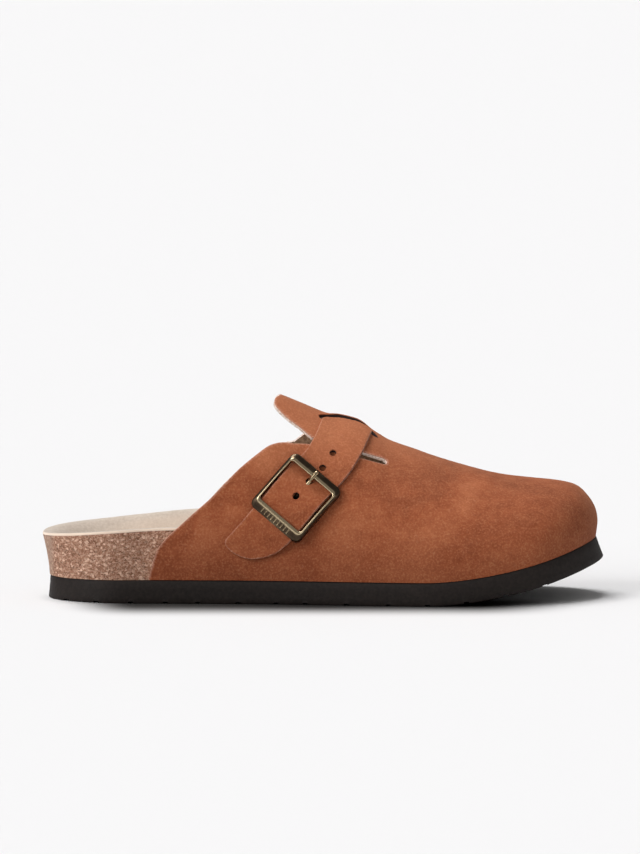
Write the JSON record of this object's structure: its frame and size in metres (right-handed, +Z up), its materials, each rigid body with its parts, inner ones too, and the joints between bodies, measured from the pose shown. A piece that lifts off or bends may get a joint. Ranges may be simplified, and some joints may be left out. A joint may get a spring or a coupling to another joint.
{
  "type": "clog slipper",
  "caption": "Right cork-footbed clog with a closed suede toe, open heel, instep flap and a buckled strap through a slot.",
  "frame": {"origin": "centre of the bounding box's base, on the floor under the middle of the shoe", "axes": "+X towards the toe, +Y towards the inner (medial) side, +Z up"},
  "size_m": [0.27, 0.0993, 0.0973],
  "materials": {
    "outsole_foam": "matt moulded foam rubber, near-black brown",
    "footbed_cork": "granular pressed cork, lacquered matt",
    "insole_suede": "beige suede lining",
    "upper_suede": "brushed brown suede",
    "strap_suede": "brushed brown suede",
    "buckle_brass": "antique brass, satin"
  },
  "bodies": {
    "root": {"outsole": "outsole_foam", "footbed": "footbed_cork", "insole": "insole_suede", "upper": "upper_suede", "strap": "strap_suede", "buckle_frame": "buckle_brass", "buckle_prong": "buckle_brass", "buckle_loop": "strap_suede"}
  },
  "joints": []
}
